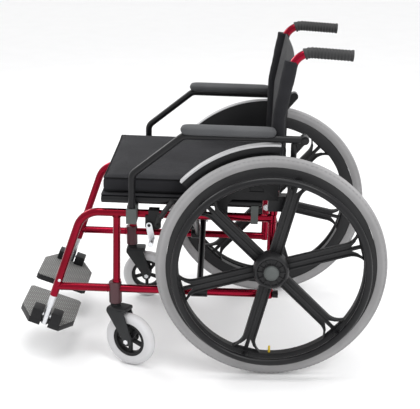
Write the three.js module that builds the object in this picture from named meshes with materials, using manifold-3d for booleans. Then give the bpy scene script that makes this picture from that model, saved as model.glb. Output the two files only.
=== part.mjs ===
// Folding manual wheelchair with a cross brace, mag rear wheels and flip-back armrests.
// Millimetres. +X is forward, +Y is the rider's left, +Z is up. The origin lies on the floor, under the
// middle of the chair. Inside the chair group X is measured from the rear axle. The frame, seat, back and
// armrests are pitched up at the front by PITCH about the rear axle, so that the seat slopes backwards.
// Every paired piece is drawn for the left side and mirrored for the right.

import * as THREE from "three";
import { mergeVertices } from "three/addons/utils/BufferGeometryUtils.js";
import Module from "manifold-3d";

const wasm = await Module();
wasm.setup();

// ---- driving dimensions -------------------------------------------------------------------------------

const AXLE_X = -193.5; // rear axle, from the middle of the chair
const PITCH = THREE.MathUtils.degToRad(1.5); // upward pitch of the frame towards the front
const GAP = 0.3; // clearance between touching pieces
const PIN = 4; // radius of the pivot bolts

const TYRE_RADIUS = 305; // 24 inch rear wheel
const TYRE_SECTION = 14; // half the section of the rear tyre
const WHEEL_Y = 290; // middle plane of the left rear wheel
const WHEEL_SIDES = 36;
const CASTER_SIDES = 24;
const RIM_OUTER = 276.5;
const RIM_INNER = 244;
const RIM_HALF_WIDTH = 11;
const SPOKES = 6;
const SPOKE_TURN = { left: 15, right: -13 }; // degrees from straight back to the first spoke
const HUB_RADIUS = 46.5;
const HUB_FACE = 38; // outboard face of the hub, from the wheel plane
const CAP_RADIUS = 20;
const CAP_SIDES = 18;
const HANDRIM_RADIUS = 252;
const HANDRIM_TUBE = 9.5;
const HANDRIM_OFFSET = 45; // handrim plane, outboard of the wheel plane
const AXLE_RADIUS = 6;

const FRAME_Y = 230; // middle plane of the left side frame
const TUBE = 11; // radius of the frame tubes
const UPPER_Z = 422.5; // upper rail
const LOWER_Z = 205.5; // lower rail
const KNEE_X = 504; // where the upper rail would meet the front tube
const KNEE_BEND = 62;
const FRONT_END = { x: 585, z: 178 }; // lower end of the front tube
const MID_POST_X = 413;
const HEAD_X = 419; // caster stem
const HEAD_RADIUS = 17.5;
const HEAD_TOP = 236;
const HEAD_BOTTOM = 175;
const STEM_RADIUS = 7.5;

const CASTER_RADIUS = 75; // 6 inch caster
const CASTER_TRAIL = 45;
const CASTER_HALF_WIDTH = 14;
const CASTER_RIM = 48;
const CASTER_SWIVEL = { left: -25, right: 0 }; // degrees at rest

const FOOT_TUBE = 9;
const FOOT_DROP = 64; // hinge of the footplate below the front tube's end, along the tube
const PLATE_THICK = 18;
const PLATE_UNDER_HINGE = 13.5; // plate top, below its hinge
const PLATE_INNER_Y = 44; // leaves room for the plates to flip up past each other as the frame folds
const PLATE_OUTER_Y = 240;

const BRACE_TUBE = 8.5;
const BRACE_X = { a: 188, b: 208 };
const SEAT_Z = 461; // seat rails
const SEAT_FRONT_X = 454;
const SEAT_REAR_X = 29;
const CUSHION = { rear: 16, front: 456, halfWidth: 237, bottom: 477.2, top: 521 };

const CANE = [[-2, 434], [-7, 700], [-38, 867], [-178, 861]]; // X and Z along the back cane
const CANE_BEND = 30;
const SLEEVE = 14.6; // radius of the upholstery sleeve on the cane
const GRIP = 14.5;

const ARM_Y = 267; // plane of the left armrest
const ARM_TUBE = 9.5;
const ARM_Z = 648;
const ARM_POST_X = 370;
const ARM_KNEE_X = 239;
const ARM_PIVOT_X = -70;
const ARM_POST_FOOT = 440;
const ARM_SHOULDER_Z = 540;
const PAD = { rear: 3, front: 247, halfWidth: 20, bottom: 650, top: 678 };

const GUARD_Y = 246.5;
const GUARD_THICK = 3.5;
const GUARD_RADIUS = 328; // outer face of the mudguard arc about the axle
const GUARD_LIP_Y = 272.5;

const BRAKE_LEVER_PIVOT = { x: 303, z: 398 };
const BRAKE_SHOE_PIVOT = { x: 325, z: 398 };
const BRAKE_SHOE = { x: 317, z: 361, radius: 7 };

// ---- colours ------------------------------------------------------------------------------------------

const FINISHES = {
  frame: { color: 0x8a0f24, roughness: 0.3, metalness: 0.7 },
  black_tube: { color: 0x17181a, roughness: 0.35, metalness: 0.5 },
  steel: { color: 0xc4c7cb, roughness: 0.28, metalness: 0.9 },
  mag: { color: 0x303134, roughness: 0.5, metalness: 0.1 },
  plastic: { color: 0x222325, roughness: 0.6, metalness: 0 },
  grey_plastic: { color: 0x5a5f60, roughness: 0.6, metalness: 0 },
  tread: { color: 0xa4a4a6, roughness: 0.85, metalness: 0 },
  caster_tread: { color: 0xd6d6d8, roughness: 0.8, metalness: 0 },
  nylon: { color: 0x242528, roughness: 0.9, metalness: 0 },
  foam: { color: 0x45474a, roughness: 0.85, metalness: 0 },
  plate: { color: 0x858684, roughness: 0.75, metalness: 0 },
};

// ---- solids -------------------------------------------------------------------------------------------

function welded(geometry) {
  const bare = geometry.clone();
  bare.deleteAttribute("normal");
  bare.deleteAttribute("uv");
  return mergeVertices(bare, 1e-4);
}

function toManifold(geometry) {
  const bare = welded(geometry);
  const vertProperties = new Float32Array(bare.attributes.position.array);
  const triVerts = new Uint32Array(bare.index.array);
  return new wasm.Manifold(new wasm.Mesh({ numProp: 3, vertProperties, triVerts }));
}

function toGeometry(manifold) {
  const mesh = manifold.getMesh();
  const geometry = new THREE.BufferGeometry();
  geometry.setAttribute("position", new THREE.BufferAttribute(mesh.vertProperties, 3));
  geometry.setIndex(new THREE.BufferAttribute(mesh.triVerts, 1));
  geometry.computeVertexNormals();
  return geometry;
}

function join(...pieces) {
  return toGeometry(pieces.map(toManifold).reduce((whole, piece) => whole.add(piece)));
}

function cut(body, ...tools) {
  return toGeometry(tools.map(toManifold).reduce((rest, tool) => rest.subtract(tool), toManifold(body)));
}

// The mirror image across the chair's middle plane, with its faces turned outwards again.
function mirrored(geometry) {
  const copy = welded(geometry);
  copy.scale(1, -1, 1);
  const index = copy.index.array;
  for (let i = 0; i < index.length; i += 3) {
    [index[i], index[i + 1]] = [index[i + 1], index[i]];
  }
  copy.computeVertexNormals();
  return copy;
}

const point = (x, y, z) => new THREE.Vector3(x, y, z);

function block(x0, x1, y0, y1, z0, z1) {
  const geometry = new THREE.BoxGeometry(x1 - x0, y1 - y0, z1 - z0);
  geometry.translate((x0 + x1) / 2, (y0 + y1) / 2, (z0 + z1) / 2);
  return geometry;
}

function rod(from, to, radius, sides = 10) {
  const along = to.clone().sub(from);
  const geometry = new THREE.CylinderGeometry(radius, radius, along.length(), sides);
  const turn = new THREE.Quaternion().setFromUnitVectors(point(0, 1, 0), along.clone().normalize());
  geometry.applyQuaternion(turn);
  const middle = from.clone().add(to).multiplyScalar(0.5);
  geometry.translate(middle.x, middle.y, middle.z);
  return geometry;
}

// A hole for a shaft of a given radius: its flats clear the shaft all round by GAP.
function bore(from, to, shaftRadius, sides = 10) {
  return rod(from, to, (shaftRadius + GAP) / Math.cos(Math.PI / sides), sides);
}

// A flat plate drawn as an X, Z outline and extruded across from y0 to y1.
function plate(outline, y0, y1, holes = []) {
  const shape = new THREE.Shape(outline.map(([x, z]) => new THREE.Vector2(x, z)));
  for (const hole of holes) {
    shape.holes.push(new THREE.Path(hole.map(([x, z]) => new THREE.Vector2(x, z))));
  }
  const geometry = new THREE.ExtrudeGeometry(shape, { depth: y1 - y0, bevelEnabled: false });
  geometry.rotateX(Math.PI / 2);
  geometry.translate(0, y1, 0);
  return geometry;
}

// Points of an arc about a centre in an X, Z outline, angles in degrees from +X towards +Z.
function arc(cx, cz, radius, start, end, steps) {
  const points = [];
  for (let i = 0; i <= steps; i += 1) {
    const angle = THREE.MathUtils.degToRad(start + ((end - start) * i) / steps);
    points.push([cx + radius * Math.cos(angle), cz + radius * Math.sin(angle)]);
  }
  return points;
}

// A turned piece about the Y axis, its profile given as [radius, y].
function turned(profile, sides) {
  const geometry = new THREE.LatheGeometry(profile.map(([r, y]) => new THREE.Vector2(r, y)), sides);
  geometry.rotateY(Math.PI / sides);
  return geometry;
}

// A path of straight runs joined by round bends, with rings only where the tube needs them.
class BentPath extends THREE.Curve {
  constructor(corners, bend, bendSteps = 4) {
    super();
    this.knots = [corners[0].clone()];
    this.tangents = [corners[1].clone().sub(corners[0]).normalize()];
    for (let i = 1; i < corners.length - 1; i += 1) {
      const back = corners[i - 1].clone().sub(corners[i]).normalize();
      const ahead = corners[i + 1].clone().sub(corners[i]).normalize();
      const half = back.angleTo(ahead) / 2;
      const setback = bend / Math.tan(half);
      const toCentre = back.clone().add(ahead).normalize();
      const centre = corners[i].clone().addScaledVector(toCentre, bend / Math.sin(half));
      const spoke = corners[i].clone().addScaledVector(back, setback).sub(centre);
      const axis = back.clone().cross(ahead).negate().normalize();
      const sweep = Math.PI - 2 * half;
      for (let k = 0; k <= bendSteps; k += 1) {
        const turn = new THREE.Quaternion().setFromAxisAngle(axis, (-sweep * k) / bendSteps);
        const arm = spoke.clone().applyQuaternion(turn.invert());
        this.knots.push(centre.clone().add(arm));
        this.tangents.push(axis.clone().cross(arm).normalize());
      }
    }
    const last = corners.length - 1;
    this.knots.push(corners[last].clone());
    this.tangents.push(corners[last].clone().sub(corners[last - 1]).normalize());
  }

  getSpacedPoints() {
    return this.knots.map((knot) => knot.clone());
  }

  getTangentAt(u, target = new THREE.Vector3()) {
    return target.copy(this.tangents[Math.round(u * (this.tangents.length - 1))]);
  }
}

function pipe(corners, bend, radius, sides = 10) {
  const path = new BentPath(corners, bend);
  const section = new THREE.Shape();
  section.absarc(0, 0, radius, 0, 2 * Math.PI, false);
  return new THREE.ExtrudeGeometry(section, {
    steps: path.knots.length - 1,
    extrudePath: path,
    curveSegments: sides / 2,
    bevelEnabled: false,
  });
}

// A box with rounded upright corners and rounded top and bottom edges.
function softBox(x0, x1, y0, y1, z0, z1, corner, edge) {
  const shape = new THREE.Shape();
  const right = x1 - edge;
  const left = x0 + edge;
  const top = y1 - edge;
  const low = y0 + edge;
  shape.moveTo(left + corner, low);
  shape.lineTo(right - corner, low);
  shape.absarc(right - corner, low + corner, corner, -Math.PI / 2, 0, false);
  shape.absarc(right - corner, top - corner, corner, 0, Math.PI / 2, false);
  shape.absarc(left + corner, top - corner, corner, Math.PI / 2, Math.PI, false);
  shape.absarc(left + corner, low + corner, corner, Math.PI, 1.5 * Math.PI, false);
  const geometry = new THREE.ExtrudeGeometry(shape, {
    depth: z1 - z0 - 2 * edge,
    curveSegments: 3,
    bevelSize: edge,
    bevelThickness: edge,
    bevelSegments: 2,
  });
  geometry.translate(0, 0, z0 + edge);
  return geometry;
}

// ---- groups and meshes --------------------------------------------------------------------------------

const chair = new THREE.Group();
chair.position.x = AXLE_X;

const frame = new THREE.Group();
frame.position.z = TYRE_RADIUS;
frame.rotation.y = -PITCH;
const pitched = new THREE.Group();
pitched.position.z = -TYRE_RADIUS;
frame.add(pitched);
chair.add(frame);

function addMesh(group, name, geometry, finish) {
  const mesh = new THREE.Mesh(geometry, new THREE.MeshStandardMaterial(FINISHES[finish]));
  mesh.name = name;
  group.add(mesh);
  return mesh;
}

function addPair(group, name, geometry, finish) {
  addMesh(group, `${name}_left`, geometry, finish);
  addMesh(group, `${name}_right`, mirrored(geometry), finish);
}

// Undoes the frame's pitch for a piece that is drawn upright but belongs to the pitched frame.
function unpitched(geometry) {
  geometry.translate(0, 0, -TYRE_RADIUS);
  geometry.rotateY(PITCH);
  geometry.translate(0, 0, TYRE_RADIUS);
  return geometry;
}

// ---- side frames --------------------------------------------------------------------------------------

const frontRun = point(FRONT_END.x - KNEE_X, 0, FRONT_END.z - UPPER_Z).normalize();

// A place on the front tube's line, a distance below its lower end.
function belowFrontEnd(distance, y = FRAME_Y) {
  return point(FRONT_END.x + frontRun.x * distance, y, FRONT_END.z + frontRun.z * distance);
}

function sideFrame() {
  const upper = [point(0, FRAME_Y, UPPER_Z), point(KNEE_X, FRAME_Y, UPPER_Z), belowFrontEnd(0)];
  const rail = pipe(upper, KNEE_BEND, TUBE);
  const frontX = KNEE_X + ((UPPER_Z - LOWER_Z) * frontRun.x) / -frontRun.z;
  const lower = rod(point(0, FRAME_Y, LOWER_Z), point(frontX, FRAME_Y, LOWER_Z), TUBE);
  const postFoot = point(MID_POST_X, FRAME_Y, HEAD_TOP - 6);
  const midPost = rod(postFoot, point(MID_POST_X, FRAME_Y, UPPER_Z), TUBE - 1);
  const rearPost = rod(point(0, FRAME_Y, LOWER_Z - TUBE), point(0, FRAME_Y, UPPER_Z + TUBE), TUBE);
  const head = rod(point(HEAD_X, FRAME_Y, HEAD_BOTTOM), point(HEAD_X, FRAME_Y, HEAD_TOP), HEAD_RADIUS, 16);
  const stemTop = HEAD_TOP - 8;
  const stemBore = bore(
    point(HEAD_X, FRAME_Y, HEAD_BOTTOM - 1),
    point(HEAD_X, FRAME_Y, stemTop),
    STEM_RADIUS,
  );
  const footBore = bore(belowFrontEnd(1), belowFrontEnd(-150), FOOT_TUBE);
  const axleBore = bore(
    point(0, FRAME_Y - 20, TYRE_RADIUS),
    point(0, FRAME_Y + 20, TYRE_RADIUS),
    AXLE_RADIUS,
  );
  const tubes = join(rail, lower, midPost, rearPost, unpitched(head));
  return cut(tubes, unpitched(stemBore), footBore, axleBore);
}

addPair(pitched, "side_frame", sideFrame(), "frame");

// The black cap behind the rear post, at the end of the lower rail.
function framePlug() {
  const length = 14;
  const back = point(-TUBE - length, FRAME_Y, LOWER_Z);
  const front = point(-TUBE - GAP, FRAME_Y, LOWER_Z);
  return rod(back, front, TUBE - 0.5);
}

addPair(pitched, "frame_plug", framePlug(), "plastic");

// ---- back canes, grips and back upholstery ------------------------------------------------------------

const canePath = CANE.map(([x, z]) => point(x, FRAME_Y, z));
addPair(pitched, "back_cane", pipe(canePath, CANE_BEND, TUBE), "frame");

function pushGrip() {
  const [, , [kneeX, kneeZ], [endX, endZ]] = CANE;
  const along = point(endX - kneeX, 0, endZ - kneeZ).normalize();
  const knee = point(kneeX, FRAME_Y, kneeZ);
  const start = knee.clone().addScaledVector(along, 29);
  const end = point(endX, FRAME_Y, endZ).addScaledVector(along, 5);
  const flange = start.clone().addScaledVector(along, 6);
  const body = join(rod(start, end, GRIP, 16), rod(start, flange, GRIP + 0.8, 16));
  const floor = point(endX, FRAME_Y, endZ).addScaledVector(along, GAP);
  return cut(body, bore(start.clone().addScaledVector(along, -1), floor, TUBE));
}

addPair(pitched, "push_grip", pushGrip(), "plastic");

const SLEEVE_BOTTOM = 502;
const SLEEVE_TOP = 842;

// The cane's X at a height, below its top bend.
function caneX(z) {
  const [[x0, z0], [x1, z1], [x2, z2]] = CANE;
  if (z < z1) {
    return x0 + ((x1 - x0) * (z - z0)) / (z1 - z0);
  }
  return x1 + ((x2 - x1) * (z - z1)) / (z2 - z1);
}

function backSleeve() {
  const [, [bendX, bendZ]] = CANE;
  const line = [
    point(caneX(SLEEVE_BOTTOM), FRAME_Y, SLEEVE_BOTTOM),
    point(bendX, FRAME_Y, bendZ),
    point(caneX(SLEEVE_TOP), FRAME_Y, SLEEVE_TOP),
  ];
  const inside = [
    point(caneX(SLEEVE_BOTTOM - 5), FRAME_Y, SLEEVE_BOTTOM - 5),
    point(bendX, FRAME_Y, bendZ),
    point(caneX(SLEEVE_TOP + 5), FRAME_Y, SLEEVE_TOP + 5),
  ];
  return cut(pipe(line, CANE_BEND, SLEEVE), pipe(inside, CANE_BEND, TUBE + GAP));
}

addPair(pitched, "back_sleeve", backSleeve(), "nylon");

function backPanel() {
  const halfWidth = FRAME_Y - SLEEVE - 1;
  const [, [bendX, bendZ]] = CANE;
  const thick = 5; // half the thickness
  const spine = [
    [caneX(SLEEVE_BOTTOM), SLEEVE_BOTTOM],
    [bendX, bendZ],
    [caneX(SLEEVE_TOP), SLEEVE_TOP],
  ];
  const frontLine = spine.map(([x, z]) => [x + thick, z]);
  const backLine = spine.map(([x, z]) => [x - thick, z]);
  return plate([...frontLine, ...backLine.reverse()], -halfWidth, halfWidth);
}

addMesh(pitched, "back_panel", backPanel(), "nylon");

// ---- cross brace and seat -----------------------------------------------------------------------------

// One leg of the cross: a sleeve that turns on the lower rail, the diagonal tube and the seat rail.
// side is +1 for the leg that turns on the left rail and carries the right seat rail.
function brace(x, side) {
  const low = point(x, side * FRAME_Y, LOWER_Z);
  const high = point(x, -side * FRAME_Y, SEAT_Z);
  const centreZ = (LOWER_Z + SEAT_Z) / 2;
  const sleeveHalf = 22;
  const sleeve = rod(low.clone().setX(x - sleeveHalf), low.clone().setX(x + sleeveHalf), TUBE + 4, 12);
  const railHole = bore(
    low.clone().setX(x - sleeveHalf - 1),
    low.clone().setX(x + sleeveHalf + 1),
    TUBE,
    12,
  );
  const rail = rod(high.clone().setX(SEAT_REAR_X), high.clone().setX(SEAT_FRONT_X), TUBE);
  const boltHole = bore(point(x - 20, 0, centreZ), point(x + 20, 0, centreZ), PIN);
  return cut(join(rod(low, high, BRACE_TUBE), sleeve, rail), railHole, boltHole);
}

addMesh(pitched, "cross_brace_a", brace(BRACE_X.a, 1), "black_tube");
addMesh(pitched, "cross_brace_b", brace(BRACE_X.b, -1), "black_tube");

function crossBolt() {
  const z = (LOWER_Z + SEAT_Z) / 2;
  const rear = BRACE_X.a - BRACE_TUBE;
  const front = BRACE_X.b + BRACE_TUBE;
  const shank = rod(point(rear - 5, 0, z), point(front + 5, 0, z), PIN);
  const head = rod(point(rear - 6, 0, z), point(rear - GAP, 0, z), 7.5, 6);
  const nut = rod(point(front + GAP, 0, z), point(front + 6, 0, z), 7.5, 6);
  const washer = rod(point(rear + 2 * BRACE_TUBE + GAP, 0, z), point(BRACE_X.b - BRACE_TUBE - GAP, 0, z), 9);
  return join(shank, head, nut, washer);
}

addMesh(pitched, "cross_bolt", crossBolt(), "steel");

const slingBottom = SEAT_Z + TUBE + GAP;
const sling = block(SEAT_REAR_X, SEAT_FRONT_X, -FRAME_Y - 9, FRAME_Y + 9, slingBottom, CUSHION.bottom - 1.5);
addMesh(pitched, "seat_sling", sling, "nylon");

const cushion = softBox(
  CUSHION.rear,
  CUSHION.front,
  -CUSHION.halfWidth,
  CUSHION.halfWidth,
  CUSHION.bottom,
  CUSHION.top,
  10,
  6,
);
addMesh(pitched, "seat_cushion", cushion, "nylon");

// A plastic saddle clipped on the upper rail, in which the seat rail rests.
function seatCradle() {
  const x = 48;
  const half = 9.5;
  const body = block(x - half, x + half, FRAME_Y - 14, FRAME_Y + 14, UPPER_Z - 14, SEAT_Z - 3);
  const onRail = bore(point(x - 2 * half, FRAME_Y, UPPER_Z), point(x + 2 * half, FRAME_Y, UPPER_Z), TUBE);
  const underSeat = bore(point(x - 2 * half, FRAME_Y, SEAT_Z), point(x + 2 * half, FRAME_Y, SEAT_Z), TUBE);
  return cut(body, onRail, underSeat);
}

addPair(pitched, "seat_cradle", seatCradle(), "grey_plastic");

// ---- armrests -----------------------------------------------------------------------------------------

function armrestTube() {
  const corners = [
    point(ARM_POST_X, ARM_Y, ARM_POST_FOOT),
    point(ARM_POST_X, ARM_Y, ARM_SHOULDER_Z),
    point(ARM_KNEE_X, ARM_Y, ARM_Z),
    point(ARM_PIVOT_X + 6, ARM_Y, ARM_Z),
  ];
  const eyeHalf = ARM_TUBE + 0.5;
  const eye = rod(
    point(ARM_PIVOT_X, ARM_Y - eyeHalf, ARM_Z),
    point(ARM_PIVOT_X, ARM_Y + eyeHalf, ARM_Z),
    11.5,
    12,
  );
  const pinBore = bore(
    point(ARM_PIVOT_X, ARM_Y - 2 * eyeHalf, ARM_Z),
    point(ARM_PIVOT_X, ARM_Y + 2 * eyeHalf, ARM_Z),
    PIN,
  );
  return cut(join(pipe(corners, 28, ARM_TUBE), eye), pinBore);
}

addPair(pitched, "armrest_tube", armrestTube(), "black_tube");

function armrestPad() {
  const pad = softBox(
    PAD.rear,
    PAD.front,
    ARM_Y - PAD.halfWidth,
    ARM_Y + PAD.halfWidth,
    PAD.bottom,
    PAD.top,
    14,
    6,
  );
  const bendClear = [
    point(ARM_KNEE_X + 60, ARM_Y, ARM_Z - (60 * (ARM_Z - ARM_SHOULDER_Z)) / (ARM_POST_X - ARM_KNEE_X)),
    point(ARM_KNEE_X, ARM_Y, ARM_Z),
    point(PAD.rear - 5, ARM_Y, ARM_Z),
  ];
  return cut(pad, pipe(bendClear, 28, ARM_TUBE + GAP));
}

addPair(pitched, "armrest_pad", armrestPad(), "foam");

// The front receiver: clamped on the upper rail, with a cup that is open to the front and the top, so
// that the armrest's post swings out of it.
function armrestSocket() {
  const half = 13.5;
  const outer = ARM_Y + ARM_TUBE + 3.5;
  const top = SEAT_Z - TUBE - 1;
  const body = block(ARM_POST_X - half, ARM_POST_X + half, FRAME_Y - 14, outer, UPPER_Z - 14, top);
  const onRail = bore(
    point(ARM_POST_X - 2 * half, FRAME_Y, UPPER_Z),
    point(ARM_POST_X + 2 * half, FRAME_Y, UPPER_Z),
    TUBE,
  );
  const cupRadius = ARM_TUBE + 0.6;
  const floor = ARM_POST_FOOT - GAP;
  const cup = rod(point(ARM_POST_X, ARM_Y, floor), point(ARM_POST_X, ARM_Y, top + 1), cupRadius);
  const mouth = block(
    ARM_POST_X,
    ARM_POST_X + 2 * half,
    ARM_Y - cupRadius,
    ARM_Y + cupRadius,
    floor,
    top + 1,
  );
  return cut(body, onRail, cup, mouth);
}

addPair(pitched, "armrest_socket", armrestSocket(), "grey_plastic");

// The rear carrier: a clamp on the cane, an upright tube behind it and the plate with the pivot bolt.
function armrestBracket() {
  const postX = -45;
  const postY = FRAME_Y + 22;
  const clampBottom = 446;
  const clampTop = 488;
  const caneAxis = [point(caneX(clampBottom - 5), FRAME_Y, clampBottom - 5), point(caneX(500), FRAME_Y, 500)];
  const upright = rod(point(postX, postY, clampBottom), point(postX, postY, ARM_Z - 14), 8);
  const clamp = block(postX, 14, FRAME_Y - 16, FRAME_Y + 16, clampBottom, clampTop);
  const web = block(postX - 8, postX + 8, FRAME_Y - 2, postY, clampBottom, clampTop);
  const ear = plate(
    [
      [postX + 8, ARM_Z - 40],
      [postX + 8, ARM_Z - 16],
      ...arc(ARM_PIVOT_X, ARM_Z, 12, 60, 210, 6),
      [postX - 8, ARM_Z - 40],
    ],
    postY - 2,
    postY + 2,
  );
  const pin = rod(point(ARM_PIVOT_X, postY, ARM_Z), point(ARM_PIVOT_X, ARM_Y + 12, ARM_Z), PIN);
  const head = rod(point(ARM_PIVOT_X, ARM_Y + 11, ARM_Z), point(ARM_PIVOT_X, ARM_Y + 16, ARM_Z), 7.5, 6);
  const body = join(clamp, web, upright, ear, pin, head);
  return cut(body, bore(caneAxis[0], caneAxis[1], TUBE));
}

addPair(pitched, "armrest_bracket", armrestBracket(), "black_tube");

// ---- side guards --------------------------------------------------------------------------------------

// A flat panel beside the seat whose upper edge follows the wheel, with a mudguard flange over the arc
// and a foot that reaches down to the upper rail.
function sideGuard() {
  const start = 42;
  const end = 92;
  const steps = 10;
  const footX = 136;
  const footHalf = 17;
  const panelBottom = 477;
  const rearX = -12;
  const flare = 12;
  const outline = [
    ...arc(0, TYRE_RADIUS, GUARD_RADIUS, start, end, steps),
    [rearX, panelBottom],
    [footX - footHalf - flare, panelBottom],
    [footX - footHalf, panelBottom - flare],
    [footX - footHalf, UPPER_Z + 2],
    ...arc(footX, UPPER_Z + 2, footHalf, 180, 360, 6).slice(1, -1),
    [footX + footHalf, UPPER_Z + 2],
    [footX + footHalf, panelBottom - flare],
    [footX + footHalf + flare, panelBottom],
    [216, panelBottom + 8],
  ];
  const panel = plate(outline, GUARD_Y, GUARD_Y + GUARD_THICK);
  const band = (inner, outer) => [
    ...arc(0, TYRE_RADIUS, outer, start, end, steps),
    ...arc(0, TYRE_RADIUS, inner, end, start, steps),
  ];
  const flange = plate(band(GUARD_RADIUS - 3, GUARD_RADIUS), GUARD_Y + 1, GUARD_LIP_Y);
  const lip = plate(band(GUARD_RADIUS - 20, GUARD_RADIUS), GUARD_LIP_Y - 3, GUARD_LIP_Y);
  return join(panel, flange, lip);
}

addPair(pitched, "side_guard", sideGuard(), "plastic");

// ---- brakes -------------------------------------------------------------------------------------------

function brakeClamp() {
  const x0 = 294;
  const x1 = 336;
  const y0 = FRAME_Y + TUBE + 1;
  const saddle = block(300, 328, FRAME_Y - 14, y0 + 5, UPPER_Z - 13, UPPER_Z + 14);
  const face = plate(
    [
      [x0, UPPER_Z],
      [x0, 390],
      [x0 + 8, 384],
      [x1 - 8, 384],
      [x1, 390],
      [x1, UPPER_Z],
    ],
    y0 + 1,
    y0 + 5,
  );
  const pivots = [BRAKE_LEVER_PIVOT, BRAKE_SHOE_PIVOT].map(({ x, z }) => (
    rod(point(x, y0 + 4, z), point(x, y0 + 16, z), PIN)
  ));
  const onRail = bore(point(280, FRAME_Y, UPPER_Z), point(350, FRAME_Y, UPPER_Z), TUBE);
  return cut(join(saddle, face, ...pivots), onRail);
}

addPair(pitched, "brake_clamp", brakeClamp(), "plastic");

const brakePlane = FRAME_Y + TUBE + 7;

function brakeLever() {
  const { x, z } = BRAKE_LEVER_PIVOT;
  const bar = plate(
    [...arc(x, z, 8, 180 + 30, 360 + 30, 6), [x - 2, z + 36], [x - 14, z + 30]],
    brakePlane,
    brakePlane + 3,
  );
  const low = point(x - 8, brakePlane + 8, z + 24);
  const high = point(x - 39, brakePlane + 8, z + 70);
  const handle = rod(low, high, 7.5, 14);
  return cut(join(bar, handle), bore(point(x, brakePlane - 5, z), point(x, brakePlane + 20, z), PIN));
}

addPair(pitched, "brake_lever", brakeLever(), "plastic");

function brakeShoe() {
  const { x, z } = BRAKE_SHOE_PIVOT;
  const arm = plate(
    [
      ...arc(x, z, 8, -10, 170, 6),
      [BRAKE_SHOE.x - 8, BRAKE_SHOE.z],
      [BRAKE_SHOE.x - 4, BRAKE_SHOE.z - 8],
      [BRAKE_SHOE.x + 6, BRAKE_SHOE.z - 8],
      [BRAKE_SHOE.x + 10, BRAKE_SHOE.z],
    ],
    brakePlane + 4,
    brakePlane + 8,
  );
  const { radius } = BRAKE_SHOE;
  const bar = rod(
    point(BRAKE_SHOE.x, brakePlane + 5, BRAKE_SHOE.z),
    point(BRAKE_SHOE.x, WHEEL_Y + 12, BRAKE_SHOE.z),
    radius,
  );
  return cut(join(arm, bar), bore(point(x, brakePlane - 5, z), point(x, brakePlane + 20, z), PIN));
}

addPair(pitched, "brake_shoe", brakeShoe(), "steel");

// ---- footrests ----------------------------------------------------------------------------------------

const footHinge = belowFrontEnd(FOOT_DROP);
const FOOT_TUBE_TAIL = 26; // the tube's end below the hinge
const FOOT_TUBE_INSIDE = 100;

function footrestTube() {
  const tube = rod(belowFrontEnd(-FOOT_TUBE_INSIDE), belowFrontEnd(FOOT_DROP + FOOT_TUBE_TAIL), FOOT_TUBE);
  const turn = -Math.atan2(frontRun.x, -frontRun.z);
  const pinHole = bore(point(-20, 0, 0), point(20, 0, 0), PIN);
  pinHole.rotateY(turn);
  pinHole.translate(footHinge.x, footHinge.y, footHinge.z);
  return cut(tube, pinHole);
}

addPair(pitched, "footrest_tube", footrestTube(), "steel");

// Drawn with its hinge at the origin, +X towards the toes and +Z up the tube, then laid in place.
function atFootHinge(geometry) {
  geometry.rotateY(-Math.atan2(frontRun.x, -frontRun.z));
  geometry.translate(footHinge.x, footHinge.y, footHinge.z);
  return geometry;
}

function footplate() {
  const toe = 76;
  const heel = -77;
  const inner = PLATE_INNER_Y - FRAME_Y;
  const outer = PLATE_OUTER_Y - FRAME_Y;
  const chamfer = 33;
  const chamferRun = 60;
  const notch = 11.5;
  const shape = new THREE.Shape([
    new THREE.Vector2(heel, inner + 8),
    new THREE.Vector2(heel + 8, inner),
    new THREE.Vector2(toe - 8, inner),
    new THREE.Vector2(toe, inner + 8),
    new THREE.Vector2(toe, outer - chamferRun),
    new THREE.Vector2(toe - chamfer, outer),
    new THREE.Vector2(notch, outer),
    new THREE.Vector2(notch, -notch),
    new THREE.Vector2(-notch, -notch),
    new THREE.Vector2(-notch, outer),
    new THREE.Vector2(heel + chamfer, outer),
    new THREE.Vector2(heel, outer - chamferRun),
  ]);
  const slab = new THREE.ExtrudeGeometry(shape, { depth: PLATE_THICK, bevelEnabled: false });
  slab.translate(0, 0, -PLATE_UNDER_HINGE - PLATE_THICK);
  const blockLength = 30;
  const blockInner = -32;
  const blockTop = 14;
  const blocks = [1, -1].map((side) => {
    const near = side * (notch + 0.5);
    const farEnd = side * (notch + blockLength);
    const low = -PLATE_UNDER_HINGE - 4;
    return block(Math.min(near, farEnd), Math.max(near, farEnd), blockInner, outer, low, blockTop);
  });
  const pinHole = bore(point(-60, 0, 0), point(60, 0, 0), PIN);
  return atFootHinge(cut(join(slab, ...blocks), pinHole));
}

addPair(pitched, "footplate", footplate(), "plate");

function footplatePin() {
  return atFootHinge(rod(point(-38, 0, 0), point(38, 0, 0), PIN));
}

addPair(pitched, "footplate_pin", footplatePin(), "steel");

// ---- rear wheels --------------------------------------------------------------------------------------

const SIDES = { left: 1, right: -1 };

function rearTyre() {
  const flat = 5;
  const bead = RIM_OUTER + 0.5;
  const scale = 1 / Math.cos(Math.PI / WHEEL_SIDES);
  const profile = [
    [bead, -9],
    [bead + 7, -TYRE_SECTION],
    [TYRE_RADIUS - 8, -TYRE_SECTION],
    [TYRE_RADIUS, -flat],
    [TYRE_RADIUS, flat],
    [TYRE_RADIUS - 8, TYRE_SECTION],
    [bead + 7, TYRE_SECTION],
    [bead, 9],
    [bead, -9],
  ];
  return turned(profile.map(([r, y]) => [r * scale, y]), WHEEL_SIDES);
}

// A spoke pointing along +X: a bar that opens into a Y at the rim, with a window in the fork.
function spokeOutline() {
  const half = 17;
  const foot = 46;
  return [
    [30, -half],
    [190, -half],
    [222, -half - 6],
    [RIM_INNER + 6, -foot],
    [RIM_INNER + 6, foot],
    [222, half + 6],
    [190, half],
    [30, half],
  ];
}

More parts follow.
